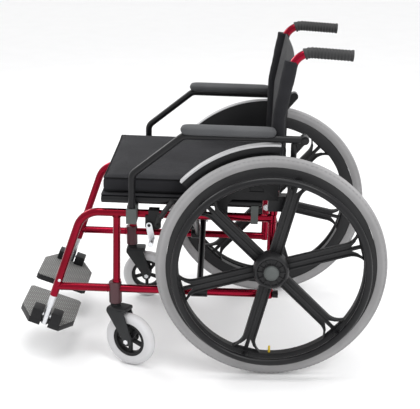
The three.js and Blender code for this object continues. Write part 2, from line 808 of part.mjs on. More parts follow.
function magWheel(turnDegrees) {
  const rim = turned(
    [
      [RIM_INNER, -RIM_HALF_WIDTH],
      [RIM_OUTER, -RIM_HALF_WIDTH + 2.5],
      [RIM_OUTER, RIM_HALF_WIDTH - 2.5],
      [RIM_INNER, RIM_HALF_WIDTH],
      [RIM_INNER, -RIM_HALF_WIDTH],
    ],
    WHEEL_SIDES,
  );
  const hub = turned(
    [
      [0, -18],
      [HUB_RADIUS - 14, -18],
      [HUB_RADIUS, -9],
      [HUB_RADIUS, HUB_FACE - 3],
      [HUB_RADIUS - 3, HUB_FACE],
      [0, HUB_FACE],
    ],
    24,
  );
  const window = [
    [[206, 5], [RIM_INNER - 6, 27], [RIM_INNER - 6, 5]],
    [[206, -5], [RIM_INNER - 6, -5], [RIM_INNER - 6, -27]],
  ];
  const pieces = [rim, hub];
  for (let i = 0; i < SPOKES; i += 1) {
    const spoke = plate(spokeOutline(), -9, 9, window);
    spoke.rotateY(-THREE.MathUtils.degToRad(180 - turnDegrees - (i * 360) / SPOKES));
    pieces.push(spoke);
  }
  const axleHole = bore(point(0, -20, 0), point(0, HUB_FACE - 8, 0), AXLE_RADIUS);
  const capSeat = bore(point(0, HUB_FACE - 10, 0), point(0, HUB_FACE + 1, 0), CAP_RADIUS, CAP_SIDES);
  return cut(join(...pieces), axleHole, capSeat);
}

function handrim(turnDegrees) {
  const section = [];
  const around = 6;
  for (let i = 0; i <= around; i += 1) {
    const angle = (-2 * Math.PI * i) / around;
    section.push([HANDRIM_RADIUS + HANDRIM_TUBE * Math.cos(angle), -HANDRIM_TUBE * Math.sin(angle)]);
  }
  section[around] = [...section[0]];
  const ring = turned(section, WHEEL_SIDES);
  ring.translate(0, HANDRIM_OFFSET, 0);
  const tabs = [];
  for (let i = 0; i < SPOKES; i += 1) {
    const tab = block(
      HANDRIM_RADIUS - 6,
      HANDRIM_RADIUS + 6,
      RIM_HALF_WIDTH + GAP,
      HANDRIM_OFFSET - 4,
      -7,
      7,
    );
    tab.rotateY(-THREE.MathUtils.degToRad(180 - turnDegrees - (i * 360) / SPOKES));
    tabs.push(tab);
  }
  return join(ring, ...tabs);
}

function hubCap() {
  const dome = [
    [0, HUB_FACE - 9.4],
    [CAP_RADIUS, HUB_FACE - 9.4],
    [CAP_RADIUS, HUB_FACE + 3],
    [17, HUB_FACE + 9],
    [10, HUB_FACE + 13],
    [0, HUB_FACE + 14],
  ];
  return turned(dome, CAP_SIDES);
}

function wheelAxle() {
  const inboard = FRAME_Y - WHEEL_Y - TUBE;
  const shank = rod(point(0, inboard - 8, 0), point(0, HUB_FACE - 11, 0), AXLE_RADIUS);
  const nut = rod(point(0, inboard - 9, 0), point(0, inboard - 1, 0), 10, 6);
  const spacer = rod(point(0, inboard + 2 * TUBE + 1, 0), point(0, -18.5, 0), 9.5);
  return join(shank, nut, spacer);
}

for (const [name, side] of Object.entries(SIDES)) {
  const corner = new THREE.Group();
  corner.position.set(0, side * WHEEL_Y, TYRE_RADIUS);
  const handed = (geometry) => (side > 0 ? geometry : mirrored(geometry));
  const turn = SPOKE_TURN[name];
  addMesh(corner, `rear_tyre_${name}`, handed(rearTyre()), "tread");
  addMesh(corner, `mag_wheel_${name}`, handed(magWheel(turn)), "mag");
  addMesh(corner, `handrim_${name}`, handed(handrim(turn)), "black_tube");
  addMesh(corner, `hub_cap_${name}`, handed(hubCap()), "grey_plastic");
  addMesh(corner, `wheel_axle_${name}`, handed(wheelAxle()), "steel");
  chair.add(corner);
}

// ---- casters ------------------------------------------------------------------------------------------

// Drawn with the stem's axis on Z through the origin and the floor at Z = 0, trailing towards -X.
function casterFork() {
  const crownTop = 167;
  const crownBottom = 156;
  const stem = rod(point(0, 0, crownBottom + 2), point(0, 0, 224), STEM_RADIUS);
  const collar = rod(point(0, 0, crownBottom + 2), point(0, 0, HEAD_BOTTOM - 1), 14.5, 14);
  const crown = block(-42, 17, -23, 23, crownBottom, crownTop);
  const legs = [1, -1].map((side) => {
    const outline = [
      [-32, crownTop],
      [17, crownTop],
      [17, crownTop - 14],
      [-CASTER_TRAIL + 15, CASTER_RADIUS + 6],
      ...arc(-CASTER_TRAIL, CASTER_RADIUS, 14, 0, -180, 6),
      [-CASTER_TRAIL - 12, CASTER_RADIUS + 16],
    ].reverse();
    return plate(outline, side > 0 ? 18 : -23, side > 0 ? 23 : -18);
  });
  const axleHole = bore(
    point(-CASTER_TRAIL, -30, CASTER_RADIUS),
    point(-CASTER_TRAIL, 30, CASTER_RADIUS),
    PIN,
  );
  return cut(join(stem, collar, crown, ...legs), axleHole);
}

function casterRim() {
  const half = 10;
  const ring = turned(
    [
      [CASTER_RIM - 8, -half],
      [CASTER_RIM - GAP, -half],
      [CASTER_RIM - GAP, half],
      [CASTER_RIM - 8, half],
      [CASTER_RIM - 8, -half],
    ],
    CASTER_SIDES,
  );
  const hub = turned([[0, -15], [11, -15], [11, 15], [0, 15]], 12);
  const spokes = [];
  const count = 5;
  for (let i = 0; i < count; i += 1) {
    const spoke = block(8, CASTER_RIM - 5, -6, 6, -5, 5);
    spoke.rotateY((2 * Math.PI * i) / count + 0.3);
    spokes.push(spoke);
  }
  return cut(join(ring, hub, ...spokes), bore(point(0, -20, 0), point(0, 20, 0), PIN));
}

function casterTyre() {
  const scale = 1 / Math.cos(Math.PI / CASTER_SIDES);
  const inner = CASTER_RIM / scale + 0.3;
  const profile = [
    [inner, -11],
    [CASTER_RADIUS - 9, -CASTER_HALF_WIDTH],
    [CASTER_RADIUS, -5],
    [CASTER_RADIUS, 5],
    [CASTER_RADIUS - 9, CASTER_HALF_WIDTH],
    [inner, 11],
    [inner, -11],
  ];
  return turned(profile.map(([r, y]) => [r * scale, y]), CASTER_SIDES);
}

function casterAxle() {
  const shank = rod(point(0, -27, 0), point(0, 27, 0), PIN);
  const heads = [1, -1].map((side) => rod(point(0, side * 23.4, 0), point(0, side * 28, 0), 7, 6));
  return join(shank, ...heads);
}

for (const [name, side] of Object.entries(SIDES)) {
  const swivel = new THREE.Group();
  swivel.position.set(HEAD_X, side * FRAME_Y, 0);
  swivel.rotation.z = THREE.MathUtils.degToRad(CASTER_SWIVEL[name]);
  const axle = new THREE.Group();
  axle.position.set(-CASTER_TRAIL, 0, CASTER_RADIUS);
  addMesh(swivel, `caster_fork_${name}`, casterFork(), "plastic");
  addMesh(axle, `caster_rim_${name}`, casterRim(), "mag");
  addMesh(axle, `caster_tyre_${name}`, casterTyre(), "caster_tread");
  addMesh(axle, `caster_axle_${name}`, casterAxle(), "steel");
  swivel.add(axle);
  chair.add(swivel);
}

export default chair;
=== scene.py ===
# Looks of the folding manual wheelchair. Shapes are drawn in millimetres in the chair's own axes, as the
# CAD is: X from the rear axle towards the front, Y to the rider's left, Z up from the floor.
import math

import bmesh
import bpy
from mathutils import Matrix, Vector
from mathutils.bvhtree import BVHTree


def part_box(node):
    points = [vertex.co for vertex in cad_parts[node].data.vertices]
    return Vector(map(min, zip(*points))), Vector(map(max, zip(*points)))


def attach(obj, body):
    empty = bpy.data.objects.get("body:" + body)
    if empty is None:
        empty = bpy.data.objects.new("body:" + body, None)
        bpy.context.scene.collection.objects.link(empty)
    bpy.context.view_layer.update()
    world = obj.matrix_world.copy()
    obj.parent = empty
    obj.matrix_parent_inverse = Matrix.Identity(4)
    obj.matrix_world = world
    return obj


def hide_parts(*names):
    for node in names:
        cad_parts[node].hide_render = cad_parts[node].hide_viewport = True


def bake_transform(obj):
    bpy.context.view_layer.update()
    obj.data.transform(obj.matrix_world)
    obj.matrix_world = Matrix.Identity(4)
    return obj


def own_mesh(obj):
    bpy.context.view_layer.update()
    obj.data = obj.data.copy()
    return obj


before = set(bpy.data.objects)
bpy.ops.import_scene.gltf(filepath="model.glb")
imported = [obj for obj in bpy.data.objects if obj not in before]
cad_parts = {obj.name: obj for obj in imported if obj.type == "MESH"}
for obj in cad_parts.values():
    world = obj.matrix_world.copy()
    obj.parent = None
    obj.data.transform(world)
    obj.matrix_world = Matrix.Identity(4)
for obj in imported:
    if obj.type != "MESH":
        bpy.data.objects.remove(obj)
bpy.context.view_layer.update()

# ---- driving dimensions --------------------------------------------------------------------------------

MM = 0.001
PITCH = math.radians(1.5)
SIDES = {"left": 1, "right": -1}


def middle(node):
    """The centre of a CAD node's box, in millimetres."""
    low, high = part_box(node)
    return (low + high) / 2 / MM


AXLE = middle("rear_tyre_left")
WHEEL_Y = AXLE.y
FRAME_Y = middle("side_frame_left").y
ARM_Y = middle("armrest_tube_left").y
TYRE_RADIUS = AXLE.z

# Side frame: tube radius, rail heights, and where the front tube bends and ends.
TUBE = 11
UPPER_Z = 422.5
LOWER_Z = 205.5
KNEE_X = 504
KNEE_BEND = 62
FRONT_END = (585, 178)
MID_POST_X = 413
MID_POST_FOOT = 224
HEAD_X = 419
HEAD_RADIUS = 17.5
HEAD_SPAN = (175, 236)
WELD = 1.5

# Back: the cane's corners, and the heights between which its sleeve covers it.
CANE = [(-2, 434), (-7, 700), (-38, 867), (-178, 861)]
CANE_BEND = 52
GRIP_LENGTH = 124
SLEEVE = (502, 842)
SLEEVE_RADIUS = 14.1

# Seat and cross brace. The scissor runs from a lower rail to the seat rail over the other side frame.
SEAT_Z = 461
SEAT_RAIL = (29, 454)
SLING_HALF = 239
CUSHION = {"x": (16, 456), "half_y": 237, "z": (477.2, 521)}
LEG_RADIUS = 8.5

# Rear wheels.
TYRE_SECTION = 14
TREAD_LUGS = 150
RIM_INNER = 244
RIM_OUTER = 276.5
HANDRIM_RADIUS = 252
HANDRIM_TUBE = 9.5
HANDRIM_Y = 45
SPOKES = 6
SPOKE_TURN = {"left": 15, "right": -13}
SPOKE_HALF = 17
FLARE_X = 204
FLARE_RADIUS = 42
HUB_RADIUS = 46.5
HUB_FACE = 38
WHEEL_STEPS = 144

# Casters, armrests, brakes and footrests.
CASTER_RADIUS = 75
CASTER_TRAIL = 45
CASTER_SPOKES = 5
CASTER_SWIVEL = {"left": -25, "right": 0}
ARM_PIVOT = (-70, 648)
BRAKE_PIVOT = (303, 398)
FOOT_DROP = 64

SHARP_ANGLE = math.radians(38)
TINY = 1e-6

LEVEL = Matrix.Translation((AXLE.x * MM, 0, 0)) @ Matrix.Scale(MM, 4)
PITCHED = (
    Matrix.Translation((AXLE.x * MM, 0, AXLE.z * MM))
    @ Matrix.Rotation(-PITCH, 4, "Y")
    @ Matrix.Translation((0, 0, -AXLE.z * MM))
    @ Matrix.Scale(MM, 4)
)


# ---- materials -----------------------------------------------------------------------------------------

class Shader:
    """A Principled material with helpers for the procedural detail that drives it."""

    DETAIL = 4.0

    def __init__(self, name, color, roughness, metallic=0.0):
        self.material = bpy.data.materials.new(name)
        self.material.use_nodes = True
        self.nodes = self.material.node_tree.nodes
        self.links = self.material.node_tree.links
        self.out = self.nodes["Principled BSDF"]
        self.out.inputs["Base Color"].default_value = (*color, 1)
        self.out.inputs["Roughness"].default_value = roughness
        self.out.inputs["Metallic"].default_value = metallic
        self.place = self.nodes.new("ShaderNodeTexCoord").outputs["Object"]
        self.height = None

    def noise(self, scale):
        """Cloudy variation over the object's own coordinates."""
        node = self.nodes.new("ShaderNodeTexNoise")
        node.inputs["Scale"].default_value = scale
        node.inputs["Detail"].default_value = self.DETAIL
        self.links.new(self.place, node.inputs["Vector"])
        return node.outputs["Fac"]

    def wave(self, scale, axis, turn=0.0):
        """Even bands across an axis, turned about Z."""
        mapping = self.nodes.new("ShaderNodeMapping")
        mapping.inputs["Rotation"].default_value = (0, 0, turn)
        self.links.new(self.place, mapping.inputs["Vector"])
        node = self.nodes.new("ShaderNodeTexWave")
        node.bands_direction = axis
        node.inputs["Scale"].default_value = scale
        self.links.new(mapping.outputs["Vector"], node.inputs["Vector"])
        return node.outputs["Fac"]

    def combine(self, first, second, operation="MULTIPLY"):
        node = self.nodes.new("ShaderNodeMath")
        node.operation = operation
        self.links.new(first, node.inputs[0])
        self.links.new(second, node.inputs[1])
        return node.outputs[0]

    def tint(self, fac, dark, light):
        """Colours the surface from dark to light as fac rises."""
        ramp = self.nodes.new("ShaderNodeValToRGB")
        ramp.color_ramp.elements[0].position = 0.3
        ramp.color_ramp.elements[1].position = 0.7
        ramp.color_ramp.elements[0].color = (*dark, 1)
        ramp.color_ramp.elements[1].color = (*light, 1)
        self.links.new(fac, ramp.inputs["Fac"])
        self.links.new(ramp.outputs["Color"], self.out.inputs["Base Color"])
        return self

    def roughen(self, fac, low, high):
        ramp = self.nodes.new("ShaderNodeMapRange")
        ramp.inputs["To Min"].default_value = low
        ramp.inputs["To Max"].default_value = high
        self.links.new(fac, ramp.inputs["Value"])
        self.links.new(ramp.outputs["Result"], self.out.inputs["Roughness"])
        return self

    def bump(self, fac, distance, strength):
        """Adds relief on top of any relief the material already has."""
        node = self.nodes.new("ShaderNodeBump")
        node.inputs["Distance"].default_value = distance
        node.inputs["Strength"].default_value = strength
        self.links.new(fac, node.inputs["Height"])
        if self.height is not None:
            self.links.new(self.height, node.inputs["Normal"])
        self.height = node.outputs["Normal"]
        self.links.new(self.height, self.out.inputs["Normal"])
        return self

    def coat(self, weight, roughness=0.1):
        self.out.inputs["Coat Weight"].default_value = weight
        self.out.inputs["Coat Roughness"].default_value = roughness
        return self


def midtone(dark, light):
    """The colour halfway between two, which the procedural colour then varies around."""
    return [d + (l - d) * 0.5 for d, l in zip(dark, light)]


BLOTCH = 6.0
GLOSS_BLOTCH = BLOTCH * 5


def finish(name, dark, light, rough, metallic=0.0, grain=250.0, depth=0.0002, shine=0.5):
    """A moulded, painted or drawn surface: blotches of colour, uneven gloss and a fine grain."""
    shader = Shader(name, midtone(dark, light), sum(rough) / 2, metallic)
    shader.out.inputs["Specular IOR Level"].default_value = shine
    shader.tint(shader.noise(BLOTCH), dark, light)
    shader.roughen(shader.noise(GLOSS_BLOTCH), *rough)
    shader.bump(shader.noise(grain), depth, 0.35)
    return shader


def cloth(name, dark, light, threads=520.0):
    """Woven nylon: two crossed sets of threads over slow wrinkles."""
    shader = Shader(name, midtone(dark, light), 0.85)
    weave = shader.combine(shader.wave(threads, "Y"), shader.wave(threads, "X"), "ADD")
    upright = shader.wave(threads, "Z")
    shader.tint(shader.noise(9.0), dark, light)
    shader.bump(shader.noise(16.0), 0.004, 0.25)
    shader.bump(shader.combine(weave, upright, "ADD"), 0.0003, 0.5)
    shader.roughen(shader.noise(60.0), 0.72, 0.95)
    shader.out.inputs["Specular IOR Level"].default_value = 0.12
    shader.out.inputs["Sheen Weight"].default_value = 0.04
    return shader


def diamonds(name, dark, light):
    """Moulded anti-slip top: raised diamonds where two slanted sets of ridges cross, with painted shade in
    the grooves and a painted highlight on the diamonds.
    """
    shader = finish(name, dark, light, (0.6, 0.85), grain=400.0)
    ridges, slant = 45.0, math.radians(45)
    relief = shader.combine(shader.wave(ridges, "X", slant), shader.wave(ridges, "Y", slant))
    # Painted shade and highlight: the colour follows the relief, dark in the grooves and light on the raised
    # diamonds.
    shader.tint(relief, dark, light)
    return shader.bump(relief, 0.0012, 0.8)


FINISH = {
    "frame": finish("red_anodised", (0.17, 0.001, 0.010), (0.29, 0.002, 0.022), (0.16, 0.28),
                    metallic=0.95).coat(0.12),
    # Caster head: a darker, browner copy of the frame red, as painted shade.
    "head": finish("head_painted_shade", (0.050, 0.014, 0.019), (0.080, 0.024, 0.031), (0.3, 0.45),
                   metallic=0.4).coat(0.3),
    "black_tube": finish("black_coat", (0.003, 0.003, 0.004), (0.008, 0.008, 0.009), (0.24, 0.38),
                         shine=0.28),
    "steel": finish("drawn_steel", (0.55, 0.56, 0.58), (0.74, 0.75, 0.77), (0.2, 0.36),
                    metallic=0.9, grain=500.0),
    "mag": finish("mag_plastic", (0.008, 0.008, 0.009), (0.018, 0.018, 0.019), (0.38, 0.55), shine=0.28),
    "plastic": finish("black_plastic", (0.005, 0.005, 0.006), (0.011, 0.011, 0.012), (0.42, 0.6), shine=0.25),
    "fork": finish("fork_plastic", (0.012, 0.013, 0.014), (0.024, 0.025, 0.026), (0.4, 0.6), shine=0.25),
    "grey_plastic": finish("grey_plastic", (0.055, 0.062, 0.060), (0.085, 0.094, 0.092), (0.5, 0.68)),
    # Pale grey for the guard flange's top: a painted highlight of light reflecting off the black plastic.
    "flange_highlight": finish("guard_flange_highlight", (0.40, 0.40, 0.41), (0.52, 0.52, 0.53), (0.3, 0.45), metallic=0.3),
    "tread": finish("rear_rubber", (0.25, 0.247, 0.25), (0.32, 0.316, 0.32), (0.75, 0.92), depth=0.0006),
    "caster_tread": finish("caster_rubber", (0.50, 0.50, 0.51), (0.60, 0.60, 0.61), (0.65, 0.85)),
    "nylon": cloth("black_nylon", (0.013, 0.013, 0.015), (0.024, 0.024, 0.027)),
    "back": cloth("back_nylon", (0.045, 0.045, 0.047), (0.080, 0.080, 0.083), 420.0),
    "piping": cloth("piping_nylon", (0.003, 0.003, 0.004), (0.007, 0.007, 0.008), 900.0),
    "foam": finish("foam_skin", (0.032, 0.033, 0.036), (0.060, 0.062, 0.066), (0.55, 0.75),
                   grain=420.0, depth=0.0012),
    "grip_rubber": finish("grip_rubber", (0.014, 0.014, 0.015), (0.026, 0.026, 0.027), (0.45, 0.65),
                          shine=0.35),
    "plate": diamonds("plate_top", (0.10, 0.10, 0.097), (0.36, 0.36, 0.35)),
    "valve": finish("valve_cap", (0.60, 0.42, 0.02), (0.75, 0.55, 0.04), (0.35, 0.5)),
}


# ---- mesh helpers, all in millimetres ------------------------------------------------------------------

def fillet(corners, bend, steps=12):
    """The corners of a path, each inner one replaced by an arc of radius bend."""
    points = [Vector(corners[0])]
    for before, corner, after in zip(corners, corners[1:], corners[2:]):
        corner = Vector(corner)
        back = (Vector(before) - corner).normalized()
        ahead = (Vector(after) - corner).normalized()
        half = back.angle(ahead) / 2
        centre = corner + (back + ahead).normalized() * (bend / math.sin(half))
        start = corner + back * (bend / math.tan(half)) - centre
        axis = back.cross(ahead).normalized()
        sweep = math.pi - 2 * half
        for k in range(steps + 1):
            points.append(centre + Matrix.Rotation(-sweep * k / steps, 3, axis) @ start)
    points.append(Vector(corners[-1]))
    return points


def bridge(bm, rings):
    """Quads between each ring of vertices and the next."""
    for a, b in zip(rings, rings[1:]):
        for k in range(len(a)):
            n = (k + 1) % len(a)
            bm.faces.new((a[k], a[n], b[n], b[k]))


def sweep(bm, points, radius, sides=24):
    """A round tube along points. radius is one number, or a function of the share of the length."""
    points = [Vector(p) for p in points]
    lengths = [0.0]
    for a, b in zip(points, points[1:]):
        lengths.append(lengths[-1] + (b - a).length)
    normal = None
    rings = []
    for i, p in enumerate(points):
        ahead = points[min(i + 1, len(points) - 1)] - points[max(i - 1, 0)]
        tangent = ahead.normalized()
        if normal is None:
            normal = tangent.orthogonal().normalized()
        normal = (normal - tangent * normal.dot(tangent)).normalized()
        other = tangent.cross(normal)
        r = radius(lengths[i] / lengths[-1]) if callable(radius) else radius
        ring = []
        for k in range(sides):
            a = 2 * math.pi * k / sides
            ring.append(bm.verts.new(p + (normal * math.cos(a) + other * math.sin(a)) * r))
        rings.append(ring)
    bridge(bm, rings)
    bm.faces.new(list(reversed(rings[0])))
    bm.faces.new(rings[-1])


def rod(bm, start, end, radius, edge=0.8, sides=24):
    """A straight round bar with softened ends."""
    start = Vector(start)
    end = Vector(end)
    length = (end - start).length
    stops = [0.0, edge / length, 1 - edge / length, 1.0]
    points = [start.lerp(end, t) for t in stops]
    sweep(bm, points, lambda t: radius - edge if t < TINY or t > 1 - TINY else radius, sides)


def lathe(bm, profile, centre, steps=96):
    """A solid turned about the Y axis through centre. A profile closes on itself or meets the axis."""
    centre = Vector(centre)
    closed = profile[0] == profile[-1]
    loop = profile[:-1] if closed else profile
    rings = []
    for r, y in loop:
        if r < TINY:
            rings.append([bm.verts.new(centre + Vector((0, y, 0)))] * steps)
            continue
        angles = ring_angles(steps)
        rings.append([bm.verts.new(centre + Vector((r * math.cos(a), y, r * math.sin(a)))) for a in angles])
    pairs = list(zip(rings, rings[1:]))
    if closed:
        pairs.append((rings[-1], rings[0]))
    for a, b in pairs:
        for k in range(steps):
            n = (k + 1) % steps
            corners = list(dict.fromkeys((a[k], b[k], b[n], a[n])))
            bm.faces.new(corners)


def torus(bm, centre, axis, ring, thick, steps=32, sides=10):
    """A bead of weld or a stitched edge around a tube."""
    axis = Vector(axis).normalized()
    first = axis.orthogonal().normalized()
    second = axis.cross(first)
    grid = []
    for i in range(steps):
        a = 2 * math.pi * i / steps
        out = first * math.cos(a) + second * math.sin(a)
        row = []
        for k in range(sides):
            b = 2 * math.pi * k / sides
            place = Vector(centre) + out * (ring + thick * math.cos(b)) + axis * thick * math.sin(b)
            row.append(bm.verts.new(place))
        grid.append(row)
    for i in range(steps):
        for k in range(sides):
            n = (k + 1) % sides
            m = (i + 1) % steps
            bm.faces.new((grid[i][k], grid[m][k], grid[m][n], grid[i][n]))


def drawn(bm, draw):
    """Draws into bm and returns only the new vertices."""
    before = set(bm.verts)
    draw()
    return [v for v in bm.verts if v not in before]


def plate(bm, outline, y0, y1, holes=(), edge=0.8):
    """A flat plate with rounded edges, drawn as an X, Z outline and holes."""
    curve = bpy.data.curves.new("outline", "CURVE")
    curve.dimensions = "2D"
    curve.fill_mode = "BOTH"
    for loop in (outline, *holes):
        spline = curve.splines.new("POLY")
        spline.points.add(len(loop) - 1)
        for target, (x, z) in zip(spline.points, loop):
            target.co = (x, z, 0, 1)
        spline.use_cyclic_u = True
    curve.extrude = (y1 - y0) / 2 - edge
    curve.bevel_depth = edge
    curve.bevel_resolution = 1
    curve.offset = -edge
    holder = bpy.data.objects.new("outline", curve)
    mesh = bpy.data.meshes.new_from_object(holder)
    mesh.transform(Matrix.Translation((0, (y0 + y1) / 2, 0)) @ Matrix.Rotation(math.pi / 2, 4, "X"))
    fresh = drawn(bm, lambda: bm.from_mesh(mesh))
    bmesh.ops.remove_doubles(bm, verts=fresh, dist=1e-4)
    bpy.data.objects.remove(holder)
    bpy.data.curves.remove(curve)
    bpy.data.meshes.remove(mesh)


def block(bm, x, y, z, edge=1.5, segments=3):
    """A box with rounded edges, from its low and high X, Y and Z."""
    made = bmesh.ops.create_cube(bm, size=1)["verts"]
    bmesh.ops.scale(bm, vec=(x[1] - x[0], y[1] - y[0], z[1] - z[0]), verts=made)
    bmesh.ops.translate(bm, vec=(sum(x) / 2, sum(y) / 2, sum(z) / 2), verts=made)
    edges = list(dict.fromkeys(e for v in made for e in v.link_edges))
    bmesh.ops.bevel(bm, geom=edges, offset=edge, segments=segments, affect="EDGES", profile=0.5)


def ring_angles(steps):
    """Even steps once around a circle."""
    return [2 * math.pi * k / steps for k in range(steps)]


def arc(cx, cz, radius, start, end, steps):
    """Points of an X, Z arc between two angles in degrees."""
    angles = [math.radians(start + (end - start) * i / steps) for i in range(steps + 1)]
    return [(cx + radius * math.cos(a), cz + radius * math.sin(a)) for a in angles]


def spun(bm, angle, centre, draw):
    """Draws into bm, then turns what was drawn about the Y axis through centre."""
    bmesh.ops.rotate(bm, cent=centre, matrix=Matrix.Rotation(angle, 3, "Y"), verts=drawn(bm, draw))


def piece(name, bm, matrix, body, look, nodes=(), side=1):
    """Turns a drawing into a smooth-shaded object that rides on a body and stands for CAD nodes."""
    if side < 0:
        bmesh.ops.scale(bm, vec=(1, -1, 1), verts=bm.verts)
    bmesh.ops.transform(bm, matrix=matrix, verts=bm.verts)
    bmesh.ops.recalc_face_normals(bm, faces=bm.faces)
    mesh = bpy.data.meshes.new(name)
    bm.to_mesh(mesh)
    bm.free()
    mesh.shade_smooth()
    mesh.set_sharp_from_angle(angle=SHARP_ANGLE)
    mesh.materials.append(FINISH[look].material)
    obj = bpy.data.objects.new(name, mesh)
    bpy.context.scene.collection.objects.link(obj)
    if nodes:
        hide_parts(*nodes)
    if body:
        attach(obj, body)
    return obj


# ---- side frames ---------------------------------------------------------------------------------------

front_run = Vector((FRONT_END[0] - KNEE_X, 0, FRONT_END[1] - UPPER_Z)).normalized()


def below_front(distance):
    """A point on the front tube's axis, past its lower end by distance."""
    return Vector((FRONT_END[0], FRAME_Y, FRONT_END[1])) + front_run * distance


def from_level(x, z):
    """Where a point of the level chair lies in the pitched frame's axes."""
    return (
        x * math.cos(PITCH) + (z - TYRE_RADIUS) * math.sin(PITCH),
        TYRE_RADIUS - x * math.sin(PITCH) + (z - TYRE_RADIUS) * math.cos(PITCH),
    )


def side_frame(name, side):
    """The painted rails and posts with weld beads, the caster head and the footrest's clamp bolt."""
    y = FRAME_Y
    bm = bmesh.new()
    sweep(bm, fillet([(0, y, UPPER_Z), (KNEE_X, y, UPPER_Z), below_front(0)], KNEE_BEND), TUBE, sides=28)
    front_x = KNEE_X + (UPPER_Z - LOWER_Z) * front_run.x / -front_run.z
    rod(bm, (0, y, LOWER_Z), (front_x, y, LOWER_Z), TUBE)
    rod(bm, (0, y, LOWER_Z - TUBE), (0, y, UPPER_Z + TUBE), TUBE, edge=1.5)
    rod(bm, (MID_POST_X, y, MID_POST_FOOT), (MID_POST_X, y, UPPER_Z), TUBE - 1)
    for x, z, axis in (
        (0, LOWER_Z + TUBE, (0, 0, 1)),
        (0, UPPER_Z - TUBE, (0, 0, 1)),
        (MID_POST_X, UPPER_Z - TUBE, (0, 0, 1)),
        (HEAD_X - HEAD_RADIUS - 0.5, LOWER_Z, (1, 0, 0)),
        (HEAD_X + HEAD_RADIUS + 0.5, LOWER_Z, (1, 0, 0)),
        (front_x - TUBE - 3, LOWER_Z, (1, 0, 0)),
    ):
        torus(bm, (x, y, z), axis, TUBE - 0.4, WELD)
    rod(bm, (MID_POST_X, y, MID_POST_FOOT), (MID_POST_X, y, MID_POST_FOOT + 8), TUBE + 0.8)
    piece(f"frame_rails_{name}", bm, PITCHED, f"{name}_frame", "frame", [f"side_frame_{name}"], side)

    # The caster head is coloured darker and browner than the frame: painted shade.
    bm = bmesh.new()
    bottom, top = (from_level(HEAD_X, z) for z in HEAD_SPAN)
    rod(bm, (bottom[0], y, bottom[1]), (top[0], y, top[1]), HEAD_RADIUS, edge=2.0, sides=32)
    piece(f"caster_head_{name}", bm, PITCHED, f"{name}_frame", "head", (), side)

    bm = bmesh.new()
    bolt_x, bolt_z = 567, 226
    rod(bm, (bolt_x, y + TUBE - 1.5, bolt_z), (bolt_x, y + TUBE + 2, bolt_z), radius=4.2, sides=16)
    piece(f"frame_bolt_{name}", bm, PITCHED, f"{name}_frame", "steel", (), side)


# ---- back canes, grips and upholstery ------------------------------------------------------------------

def cane_x(z):
    """How far forward the straight part of the cane stands at height z."""
    (x0, z0), (x1, z1), (x2, z2) = CANE[:3]
    if z < z1:
        return x0 + (x1 - x0) * (z - z0) / (z1 - z0)
    return x1 + (x2 - x1) * (z - z1) / (z2 - z1)


def ribbed(base, depth, ribs):
    """Radius along a grip: plain at both ends, ribbed in between."""
    def radius(t):
        if t < 0.04 or t > 0.95:
            return base
        return base - depth * (0.5 + 0.5 * math.cos(2 * math.pi * ribs * t))
    return radius


def resampled(points, step):
    """The same path with a point at least every step."""
    fine = []
    for a, b in zip(points, points[1:]):
        parts = max(1, round((b - a).length / step))
        fine += [a.lerp(b, k / parts) for k in range(parts)]
    return [*fine, points[-1]]


def back_side(name, side):
    """One cane with its grip, and the sleeve that holds the back cloth."""
    y = FRAME_Y
    bm = bmesh.new()
    path = fillet([(x, y, z) for x, z in CANE], CANE_BEND)
    sweep(bm, path, TUBE, sides=28)
    piece(f"cane_{name}", bm, PITCHED, f"{name}_frame", "frame", [f"back_cane_{name}"], side)

    bm = bmesh.new()
    tip = path[-1] + (path[-1] - path[-2]).normalized() * 5
    along = resampled([*path, tip], 1)
    while (along[0] - tip).length > GRIP_LENGTH:
        along.pop(0)
    sweep(bm, along, ribbed(base=14.5, depth=1.2, ribs=15), sides=28)
    torus(bm, along[3], along[4] - along[2], ring=12.6, thick=2.6)
    torus(bm, along[-4], along[-3] - along[-5], ring=12.4, thick=2.4)
    piece(f"grip_{name}", bm, PITCHED, f"{name}_frame", "grip_rubber",
          [f"push_grip_{name}"], side)

    bm = bmesh.new()
    corners = [(cane_x(z), y, z) for z in (SLEEVE[0], CANE[1][1], SLEEVE[1])]
    fine = resampled(fillet(corners, bend=30), step=5)

    def puckered(t):
        return SLEEVE_RADIUS + 0.35 * math.sin(31 * t) + 0.15 * math.sin(83 * t + 1)

    sweep(bm, fine, puckered, sides=28)
    for place, axis in ((fine[1], (0, 0, 1)), (fine[-2], (-0.2, 0, 1))):
        torus(bm, place, axis, ring=13.2, thick=1.3)
    deepen, forward = 0.3, 5
    for vertex in bm.verts:
        share = (vertex.co.z - SLEEVE[0]) / (SLEEVE[1] - SLEEVE[0])
        cane = cane_x(vertex.co.z)
        vertex.co.x = cane + (vertex.co.x - cane) * (1 + deepen * share) + forward * share
    piece(f"sleeve_{name}", bm, PITCHED, f"{name}_frame", "nylon", [f"back_sleeve_{name}"], side)


